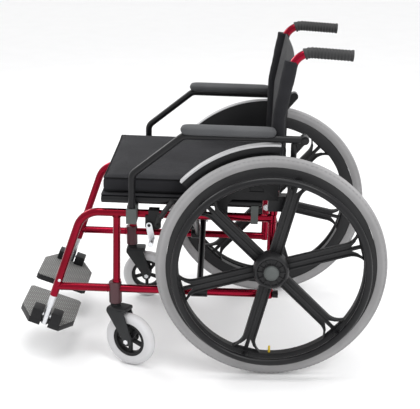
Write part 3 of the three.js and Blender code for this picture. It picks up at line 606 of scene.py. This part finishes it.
def back_panel():
    """The cloth between the canes: it sags backwards in the middle and is sewn at its top and bottom."""
    gap = 15
    half = FRAME_Y - gap
    columns, rows = 60, 48
    thick = 2.2
    sag, belly, hem = 9, 7, 6
    bm = bmesh.new()
    sheets = []
    for face in (1, -1):
        grid = []
        for j in range(rows + 1):
            v = j / rows
            z = SLEEVE[0] + (SLEEVE[1] - SLEEVE[0]) * v
            line = []
            for i in range(columns + 1):
                u = 2 * i / columns - 1
                bow = (1 - u * u) * (sag + belly * math.sin(math.pi * v))
                ripple = 0.9 * math.sin(9 * u + 5 * v) * math.sin(math.pi * v) * (1 - u * u)
                dip = hem * (1 - u * u) * (1 if v > 0.5 else -1) * abs(2 * v - 1) ** 4
                line.append(bm.verts.new((cane_x(z) - bow + ripple + face * thick / 2, u * half, z - dip)))
            grid.append(line)
        sheets.append(grid)
    front, rear = sheets
    for grid in sheets:
        for j in range(rows):
            for i in range(columns):
                bm.faces.new((grid[j][i], grid[j][i + 1], grid[j + 1][i + 1], grid[j + 1][i]))
    rim = [(0, i) for i in range(columns)] + [(j, columns) for j in range(rows)]
    rim += [(rows, columns - i) for i in range(columns)] + [(rows - j, 0) for j in range(rows)]
    for (j, i), (m, n) in zip(rim, rim[1:] + rim[:1]):
        bm.faces.new((front[j][i], front[m][n], rear[m][n], rear[j][i]))
    panel = piece("back_cloth", bm, PITCHED, "left_frame", "back", ["back_panel"])
    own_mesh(panel)


# ---- cross brace and seat ------------------------------------------------------------------------------

def brace(letter, x, side):
    """A leg of the cross brace with its pivot sleeve below and its seat rail above."""
    bm = bmesh.new()
    low = Vector((x, side * FRAME_Y, LOWER_Z))
    high = Vector((x, -side * FRAME_Y, SEAT_Z))
    rod(bm, low.lerp(high, 0.03), high, LEG_RADIUS)
    half = 22
    rod(bm, (x - half, low.y, LOWER_Z), (x + half, low.y, LOWER_Z), radius=15, edge=1.5, sides=28)
    rod(bm, (SEAT_RAIL[0], high.y, SEAT_Z), (SEAT_RAIL[1], high.y, SEAT_Z), TUBE, edge=1.5, sides=28)
    for share in (0.034, 0.972):
        torus(bm, low.lerp(high, share), high - low, LEG_RADIUS, 1.4)
    piece(f"brace_leg_{letter}", bm, PITCHED, f"brace_{letter}", "black_tube",
          [f"cross_brace_{letter}"])


def seat_sling():
    """The sling over both seat rails, cut into strips so that it can bend with the fold."""
    bm = bmesh.new()
    block(bm, SEAT_RAIL, (-SLING_HALF, SLING_HALF), (SEAT_Z + TUBE + 0.4, CUSHION["z"][0] - 1.6), edge=1.2)
    for y in range(-220, 221, 20):
        geom = bm.verts[:] + bm.edges[:] + bm.faces[:]
        bmesh.ops.bisect_plane(bm, geom=geom, plane_co=(0, y, 0), plane_no=(0, 1, 0))
    sling = piece("sling_cloth", bm, PITCHED, None, "nylon", ["seat_sling"])
    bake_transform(sling)


def rounded_loop(x, half_y, radius, steps=8):
    """An X, Y rectangle with rounded corners."""
    loop = []
    for cx, cy, a in (
        (x[1] - radius, half_y - radius, 0),
        (x[0] + radius, half_y - radius, 90),
        (x[0] + radius, -half_y + radius, 180),
        (x[1] - radius, -half_y + radius, 270),
    ):
        for k in range(steps + 1):
            angle = math.radians(a + 90 * k / steps)
            loop.append((cx + radius * math.cos(angle), cy + radius * math.sin(angle)))
    return loop


def inflate(obj, voxel, pressure, cap):
    """Blows a closed piece up as cloth, holding every point within cap of where it started."""
    scene = bpy.context.scene
    remesh = obj.modifiers.new("remesh", "REMESH")
    remesh.mode = "VOXEL"
    remesh.voxel_size = voxel
    graph = bpy.context.evaluated_depsgraph_get()
    even = bpy.data.meshes.new_from_object(obj.evaluated_get(graph))
    obj.modifiers.clear()
    obj.data = even
    start = [v.co.copy() for v in even.vertices]
    modifier = obj.modifiers.new("cloth", "CLOTH")
    modifier.settings.use_pressure = True
    modifier.settings.uniform_pressure_force = pressure
    modifier.settings.effector_weights.gravity = 0
    last_frame = 20
    for number in range(1, last_frame + 1):
        scene.frame_set(number)
    graph = bpy.context.evaluated_depsgraph_get()
    blown = bpy.data.meshes.new_from_object(obj.evaluated_get(graph))
    obj.modifiers.clear()
    obj.data = blown
    scene.frame_set(1)
    for vertex, home in zip(obj.data.vertices, start):
        shift = vertex.co - home
        if shift.length > cap:
            vertex.co = home + shift.normalized() * cap


def seat_cushion():
    """Seat cushion: blown up as cloth, crowned on top, flat where it rests, with piped edges."""
    x = (CUSHION["x"][0] + 5, CUSHION["x"][1] - 1)
    half = CUSHION["half_y"] - 5
    z0, z1 = CUSHION["z"]
    bm = bmesh.new()
    block(bm, x, (-half, half), (z0 + 1, z1 - 4), edge=8, segments=4)
    mesh = bpy.data.meshes.new("cushion")
    bm.to_mesh(mesh)
    bm.free()
    mesh.transform(Matrix.Scale(MM, 4))
    obj = bpy.data.objects.new("cushion_cover", mesh)
    bpy.context.scene.collection.objects.link(obj)
    inflate(obj, voxel=0.006, pressure=4.0, cap=0.006)
    low, high = z0 * MM, z1 * MM
    for vertex in obj.data.vertices:
        vertex.co.z = min(max(vertex.co.z, low), high + 0.004)
    bpy.context.view_layer.update()
    surface = BVHTree.FromObject(obj, bpy.context.evaluated_depsgraph_get())
    to_world = PITCHED @ Matrix.Scale(1 / MM, 4)
    beads = bmesh.new()
    inset, spacing = 5, 12
    for z in (z1 - inset, z0 + inset):
        corners = [Vector((px, py, z)) for px, py in rounded_loop((x[0] - 1, x[1] + 1), half + 1, radius=14)]
        seam = []
        for a, b in zip(corners, corners[1:] + corners[:1]):
            parts = max(1, round((b - a).length / spacing))
            for k in range(parts):
                near = surface.find_nearest(a.lerp(b, k / parts) * MM)[0] / MM
                seam.append(Vector((near.x, near.y, z)))
        sweep(beads, [*seam, seam[0]], radius=1.9, sides=10)
    piping = piece("cushion_piping", beads, PITCHED, None, "piping")
    mesh = obj.data
    mesh.transform(to_world)
    mesh.shade_smooth()
    mesh.materials.append(FINISH["nylon"].material)
    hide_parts("seat_cushion")
    for soft in (obj, piping):
        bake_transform(soft)


# ---- armrests ------------------------------------------------------------------------------------------

def armrest(name, side):
    """The flip-back tube with its pivot boss, and the foam pad on top."""
    bm = bmesh.new()
    x, z = ARM_PIVOT
    front = 370
    corners = [(front, ARM_Y, 440), (front, ARM_Y, 540), (239, ARM_Y, z), (x + 6, ARM_Y, z)]
    sweep(bm, fillet(corners, bend=28), radius=9.5, sides=28)
    rod(bm, (x, ARM_Y - 10, z), (x, ARM_Y + 10, z), radius=11.5, edge=1.0, sides=28)
    piece(f"arm_tube_{name}", bm, PITCHED, f"armrest_{name}", "black_tube",
          [f"armrest_tube_{name}"], side)

    bm = bmesh.new()
    low_x, high_x, half, bottom, top = 3, 247, 20, 650, 678
    columns, around = 64, 40
    squareness, narrowest, crown_height = 0.68, 0.15, 1.5
    rings = []
    for i in range(columns + 1):
        t = i / columns
        end = math.sqrt(max(0.0, 1 - abs(2 * t - 1) ** 16))
        share = narrowest + (1 - narrowest) * end
        ring = []
        for k in range(around):
            a = 2 * math.pi * k / around
            cy = math.copysign(abs(math.cos(a)) ** squareness, math.cos(a))
            cz = math.copysign(abs(math.sin(a)) ** squareness, math.sin(a))
            crown = crown_height * (1 - cy * cy) * max(0.0, cz)
            px = low_x + (high_x - low_x) * t
            py = ARM_Y + half * cy * share
            pz = (bottom + top) / 2 + (top - bottom - 2 * crown_height) / 2 * cz * share + crown
            ring.append(bm.verts.new((px, py, pz)))
        rings.append(ring)
    bridge(bm, rings)
    bm.faces.new(rings[0])
    bm.faces.new(rings[-1])
    pad = piece(f"arm_pad_{name}", bm, PITCHED, f"armrest_{name}", "foam",
                [f"armrest_pad_{name}"], side)


# ---- side guards ---------------------------------------------------------------------------------------

def side_guard(name, side):
    """The panel beside the seat, its mudguard flange with a pale grey strip along its top as a painted
    highlight, and the pocket for a hand.
    """
    y0, y1 = 246.5, 250
    rim = 328
    lip_y = 272.5
    first, last = 42, 92
    foot_x, foot_half, bottom = 136, 17, 477
    outline = [
        *arc(0, TYRE_RADIUS, rim, first, last, 40), (-12, bottom), (foot_x - foot_half - 12, bottom),
        (foot_x - foot_half, bottom - 12), *arc(foot_x, UPPER_Z + 2, foot_half, 180, 360, 14),
        (foot_x + foot_half, bottom - 12), (foot_x + foot_half + 12, bottom), (216, bottom + 8),
    ]
    pocket = [(27, 500), (65, 500), *arc(54, 510, 10.5, -40, 90, 6), (40, 519), (27, 508)]

    def band(inner, outer):
        return [*arc(0, TYRE_RADIUS, outer, first, last, 40), *arc(0, TYRE_RADIUS, inner, last, first, 40)]

    bm = bmesh.new()
    plate(bm, outline, y0, y1, [pocket])
    plate(bm, pocket, y0, y0 + 1, edge=0.2)
    plate(bm, band(rim - 20, rim), lip_y - 3, lip_y)
    piece(f"guard_{name}", bm, PITCHED, f"{name}_frame", "plastic", [f"side_guard_{name}"], side)
    bm = bmesh.new()
    # The flange's top in pale grey: a painted highlight.
    plate(bm, band(rim - 4, rim + 2), y1 - 1, lip_y + 0.5, edge=0.6)
    piece(f"guard_flange_highlight_{name}", bm, PITCHED, f"{name}_frame", "flange_highlight", (), side)


# ---- brakes --------------------------------------------------------------------------------------------

def brake_lever(name, side):
    """The lever's plate at its pivot, and the ribbed handle."""
    x, z = BRAKE_PIVOT
    y = FRAME_Y + 18
    bm = bmesh.new()
    plate(bm, [*arc(x, z, 8, 210, 390, 10), (x - 2, z + 36), (x - 14, z + 30)], y, y + 3, edge=0.5)
    low = Vector((x - 8, y + 8, z + 24))
    high = Vector((x - 39, y + 8, z + 70))
    count = 90
    spine = [low.lerp(high, i / count) for i in range(count + 1)]
    sweep(bm, spine, ribbed(base=7.5, depth=1.0, ribs=11))
    piece(f"lever_{name}", bm, PITCHED, f"brake_lever_{name}", "grip_rubber",
          [f"brake_lever_{name}"], side)


# ---- footrests -----------------------------------------------------------------------------------------

def footrest(name, side):
    """The sliding tube, and the footplate with the two blocks of its hinge."""
    bm = bmesh.new()
    rod(bm, below_front(-90), below_front(FOOT_DROP + 26), radius=9, edge=1.0, sides=28)
    piece(f"foot_stem_{name}", bm, PITCHED, f"footrest_{name}", "steel",
          [f"footrest_tube_{name}"], side)

    hinge = below_front(FOOT_DROP)
    lean = Matrix.Translation(hinge) @ Matrix.Rotation(-math.atan2(front_run.x, -front_run.z), 4, "Y")
    inner, outer = (corner.y / MM - FRAME_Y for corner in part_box("footplate_left"))
    toe, heel, notch = 76, -77, 11.5
    chamfer, run = 33, 60
    outline = [
        (heel, inner + 8), (heel + 8, inner), (toe - 8, inner), (toe, inner + 8), (toe, outer - run),
        (toe - chamfer, outer), (notch, outer), (notch, -notch), (-notch, -notch), (-notch, outer),
        (heel + chamfer, outer), (heel, outer - run),
    ]
    flat = Matrix.Rotation(-math.pi / 2, 4, "X")
    bm = bmesh.new()
    plate(bm, outline, 13.5, 31.5, edge=1.5)
    bmesh.ops.transform(bm, matrix=flat, verts=bm.verts)
    for face in bm.faces:
        if face.calc_center_median().z > -14:
            face.material_index = 1
    for sign in (1, -1):
        near, far = sorted((sign * (notch + 0.5), sign * (notch + 30)))
        block(bm, (near, far), (-32, outer), (-17, 14), 3)
    bmesh.ops.transform(bm, matrix=lean, verts=bm.verts)
    tread = piece(f"foot_plate_{name}", bm, PITCHED, f"footplate_{name}", "plastic",
                  [f"footplate_{name}"], side)
    tread.data.materials.append(FINISH["plate"].material)


# ---- rear wheels ---------------------------------------------------------------------------------------

def flare(radius):
    """The concave sweep from a spoke's edge out to the rim."""
    return arc(FLARE_X, SPOKE_HALF + FLARE_RADIUS, radius, -90, 0, 10)


def across(points):
    """The mirror image of an outline drawn above the spoke's axis."""
    return [(x, -z) for x, z in reversed(points)]


def spoke_angles(name):
    """Turns that carry a forward spoke to each place on the wheel as it stands in the photo."""
    turn = math.radians(SPOKE_TURN[name])
    return [-(math.pi - turn - k * math.pi / 3) for k in range(SPOKES)]


def spoke(bm):
    """A spoke that points forward from the axle: a web with edge flanges, a centre rib and a Y flare."""
    raised = (0, 0, TYRE_RADIUS)
    bmesh.ops.translate(bm, vec=raised, verts=drawn(bm, lambda: spoke_ribs(bm)))


def spoke_ribs(bm):
    """The plates of a spoke, drawn about the wheel's axis at height 0."""
    upper = [(34, SPOKE_HALF), *flare(FLARE_RADIUS), (RIM_INNER + 6, SPOKE_HALF + FLARE_RADIUS)]
    window = [(213, 5), (RIM_INNER - 5, 5), (RIM_INNER - 5, 30), (230, 17)]
    plate(bm, [*across(upper), *upper], WHEEL_Y - 4, WHEEL_Y + 4, [window, across(window)])
    flange = [(34, SPOKE_HALF), *flare(FLARE_RADIUS), *flare(FLARE_RADIUS + 4)[::-1], (34, SPOKE_HALF - 4)]
    for outline in (flange, across(flange)):
        plate(bm, outline, WHEEL_Y - 9, WHEEL_Y + 9)
    plate(bm, [(40, -2.5), (RIM_INNER, -2.5), (RIM_INNER, 2.5), (40, 2.5)], WHEEL_Y - 8, WHEEL_Y + 8)


def lug(bm, z, y):
    """A small block of tread, drawn at the top of the wheel."""
    made = bmesh.ops.create_cube(bm, size=1)["verts"]
    bmesh.ops.scale(bm, vec=(6, 4, 1.8), verts=made)
    bmesh.ops.translate(bm, vec=(0, y, z), verts=made)


def rear_wheel(name, side):
    """Tyre with grooves and lugs, mag wheel, handrim, hub cap and valve."""
    body = f"rear_wheel_{name}"
    hub = (0, WHEEL_Y, TYRE_RADIUS)
    r = TYRE_RADIUS
    bm = bmesh.new()
    centre = r - TYRE_SECTION
    outer = [(centre + TYRE_SECTION * math.cos(a), TYRE_SECTION * math.sin(a)) for a in
             [math.radians(-100 + 200 * k / 22) for k in range(23)]]
    bead, bead_half = RIM_OUTER + 0.6, 9
    profile = [(bead, -bead_half), *outer, (bead, bead_half), (bead, -bead_half)]
    lathe(bm, profile, hub, WHEEL_STEPS)
    for y in (-9.5, -5, 0, 5, 9.5):
        groove = centre + math.sqrt(TYRE_SECTION * TYRE_SECTION - y * y) - 0.35
        torus(bm, (0, WHEEL_Y + y, r), (0, 1, 0), groove - 0.5, thick=0.7, steps=WHEEL_STEPS, sides=6)
    for angle in ring_angles(TREAD_LUGS):
        for y in (-11, 11):
            shoulder = centre + math.sqrt(TYRE_SECTION * TYRE_SECTION - y * y)
            spun(bm, angle, hub, lambda: lug(bm, r + shoulder, WHEEL_Y + y))
    piece(f"tyre_{name}", bm, LEVEL, body, "tread", [f"rear_tyre_{name}"], side)

    bm = bmesh.new()
    rim = [(RIM_INNER, -11), (RIM_INNER + 7, -12), (RIM_OUTER - 6, -11), (RIM_OUTER, -8.5), (RIM_OUTER, 8.5),
           (RIM_OUTER - 6, 11), (RIM_INNER + 7, 12), (RIM_INNER, 11), (RIM_INNER, -11)]
    lathe(bm, rim, hub, WHEEL_STEPS)
    hub_profile = [(0, -18), (HUB_RADIUS - 14, -18), (HUB_RADIUS, -9), (HUB_RADIUS, HUB_FACE - 6),
                   (HUB_RADIUS - 4, HUB_FACE), (HUB_RADIUS - 8, HUB_FACE), (HUB_RADIUS - 12, HUB_FACE - 5),
                   (24, HUB_FACE - 5), (22, HUB_FACE), (0, HUB_FACE)]
    lathe(bm, hub_profile, hub, steps=64)
    for angle in spoke_angles(name):
        spun(bm, angle, hub, lambda: spoke(bm))
    for k in range(12):
        spun(bm, k * math.pi / 6, hub, lambda: block(
            bm, (22, 42), (WHEEL_Y + HUB_FACE - 6, WHEEL_Y + HUB_FACE - 1), (r - 1.2, r + 1.2), 0.4, 1))
    piece(f"mag_{name}", bm, LEVEL, body, "mag", [f"mag_wheel_{name}"], side)

    bm = bmesh.new()
    section = [(HANDRIM_RADIUS + HANDRIM_TUBE * math.cos(a), HANDRIM_Y + HANDRIM_TUBE * math.sin(a))
               for a in ring_angles(20)]
    lathe(bm, [*section, section[0]], hub, WHEEL_STEPS)
    for angle in spoke_angles(name):
        spun(bm, angle, hub, lambda: block(
            bm, (HANDRIM_RADIUS - 6, HANDRIM_RADIUS + 6), (WHEEL_Y + 11.3, WHEEL_Y + 41), (r - 7, r + 7)))
    piece(f"push_rim_{name}", bm, LEVEL, body, "black_tube", [f"handrim_{name}"], side)

    bm = bmesh.new()
    cap_radius, cap_edge, crown = 20, HUB_FACE + 3, 11
    dome = [(0, HUB_FACE - 9.4), (cap_radius, HUB_FACE - 9.4), (cap_radius, cap_edge)]
    dome += [(cap_radius * math.cos(a), cap_edge + crown * math.sin(a)) for a in
             [math.radians(90 * k / 8) for k in range(1, 8)]]
    lathe(bm, [*dome, (0, cap_edge + crown)], hub, steps=48)
    piece(f"cap_{name}", bm, LEVEL, body, "grey_plastic", [f"hub_cap_{name}"], side)

    bm = bmesh.new()
    root, tip = RIM_INNER + 3, 226
    rod(bm, (0, WHEEL_Y, r - root), (0, WHEEL_Y, r - tip), radius=3.2, sides=14)
    piece(f"valve_{name}", bm, LEVEL, body, "valve", (), side)


# ---- casters -------------------------------------------------------------------------------------------

def caster(name, side):
    """Fork with its stem, spoked wheel and rubber tyre, turned about the caster head."""
    turn = Matrix.Rotation(math.radians(CASTER_SWIVEL[name]), 4, "Z")
    stand = LEVEL @ Matrix.Translation((HEAD_X, side * FRAME_Y, 0)) @ turn
    axle = (-CASTER_TRAIL, 0, CASTER_RADIUS)

    bm = bmesh.new()
    inner, outer = 18, 23
    rod(bm, (0, 0, 158), (0, 0, 224), radius=7.5)
    rod(bm, (0, 0, 156), (0, 0, 174), radius=14.5, edge=3.0, sides=28)
    block(bm, (-42, 17), (-outer, outer), (155, 167), edge=5)
    for y0, y1 in ((inner, outer), (-outer, -inner)):
        outline = [
            (-32, 166), (14, 166), (17, 160), (17, 153), (-CASTER_TRAIL + 15, CASTER_RADIUS + 6),
            *arc(-CASTER_TRAIL, CASTER_RADIUS, 14, 0, -180, 12), (-CASTER_TRAIL - 12, CASTER_RADIUS + 16),
        ]
        plate(bm, outline[::-1], y0, y1, edge=1.2)
    piece(f"fork_{name}", bm, stand, f"caster_swivel_{name}", "fork", [f"caster_fork_{name}"])

    bm = bmesh.new()
    ring = [(39, -10), (47.7, -10), (47.7, 10), (39, 10), (37, 4), (37, -4), (39, -10)]
    lathe(bm, ring, axle, steps=72)
    lathe(bm, [(0, -15), (10, -15), (11, -14), (11, 14), (10, 15), (0, 15)], axle, steps=32)
    turned = 0.3
    for angle in ring_angles(CASTER_SPOKES):
        spun(bm, angle + turned, axle, lambda: block(
            bm, (axle[0] + 8, axle[0] + 41), (-5, 5), (axle[2] - 5, axle[2] + 5)))
    piece(f"caster_mag_{name}", bm, stand, f"caster_wheel_{name}", "plastic", [f"caster_rim_{name}"])

    bm = bmesh.new()
    bead, shoulder, half = 48, 60, 13.5
    tread = [(bead, -11), (shoulder, -half)]
    tread += [(62 + 13 * math.cos(a), half * math.sin(a)) for a in
              [math.radians(-70 + 140 * k / 14) for k in range(15)]]
    lathe(bm, [*tread, (shoulder, half), (bead, 11), (bead, -11)], axle)
    piece(f"caster_rubber_{name}", bm, stand, f"caster_wheel_{name}", "caster_tread",
          [f"caster_tyre_{name}"])


# ---- build ---------------------------------------------------------------------------------------------

for name, side in SIDES.items():
    side_frame(name, side)
    back_side(name, side)
    armrest(name, side)
    side_guard(name, side)
    brake_lever(name, side)
    footrest(name, side)
    rear_wheel(name, side)
    caster(name, side)
back_panel()
brace("a", 188, 1)
brace("b", 208, -1)
seat_sling()
seat_cushion()

KEPT = {
    "frame_plug": "plastic",
    "seat_cradle": "grey_plastic",
    "armrest_socket": "grey_plastic",
    "armrest_bracket": "black_tube",
    "brake_clamp": "plastic",
    "brake_shoe": "steel",
    "footplate_pin": "steel",
    "wheel_axle": "steel",
    "caster_axle": "steel",
}
for node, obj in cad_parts.items():
    look = KEPT.get(node.rsplit("_", 1)[0], "steel")
    obj.data.materials.clear()
    obj.data.materials.append(FINISH[look].material)


# ---- floor, light and camera ---------------------------------------------------------------------------

def studio():
    """A white floor and world with three soft lamps."""
    bpy.ops.mesh.primitive_plane_add(size=60, location=(0, 0, -0.0005))
    floor = bpy.context.object
    floor.name = "studio_floor"
    paper = finish("studio_paper", (0.925, 0.925, 0.93), (0.945, 0.945, 0.95), (0.5, 0.6), depth=0.0)
    floor.data.materials.append(paper.material)
    world = bpy.data.worlds.new("studio")
    bpy.context.scene.world = world
    world.use_nodes = True
    world.node_tree.nodes["Background"].inputs["Color"].default_value = (1, 1, 1, 1)
    world.node_tree.nodes["Background"].inputs["Strength"].default_value = 1.0
    bpy.context.scene.view_settings.view_transform = "Standard"
    aim = Vector((0, 0, 0.4))
    for name, place, size, power in (
        ("key", (-1.6, 2.2, 2.6), 1.4, 34),
        ("rim", (1.9, -1.6, 2.2), 1.2, 26),
        ("top", (0, 0.3, 3.0), 1.6, 30),
    ):
        lamp = bpy.data.lights.new(name, "AREA")
        lamp.size = size
        lamp.energy = power
        holder = bpy.data.objects.new(name, lamp)
        holder.location = place
        holder.rotation_euler = (aim - Vector(place)).to_track_quat("-Z", "Y").to_euler()
        bpy.context.scene.collection.objects.link(holder)


def camera():
    """The photo's viewpoint, from the camera fitted to the wheels and frame."""
    yaw, pitch, roll = 0.0256, 0.317, -0.0039
    film, lens = 36, 88.69714
    place = Vector((AXLE.x + 95.9, 2825.6, 1310.1)) * MM
    forward = Vector((math.sin(yaw) * math.cos(pitch), -math.cos(yaw) * math.cos(pitch), -math.sin(pitch)))
    holder = bpy.data.objects.new("camera", bpy.data.cameras.new("camera"))
    holder.location = place
    level = forward.to_track_quat("-Z", "Y").to_matrix().to_4x4()
    holder.rotation_euler = (level @ Matrix.Rotation(-roll, 4, "Z")).to_euler()
    holder.data.sensor_width = film
    holder.data.lens = lens
    bpy.context.scene.collection.objects.link(holder)
    bpy.context.scene.camera = holder


studio()
camera()
bpy.context.view_layer.update()
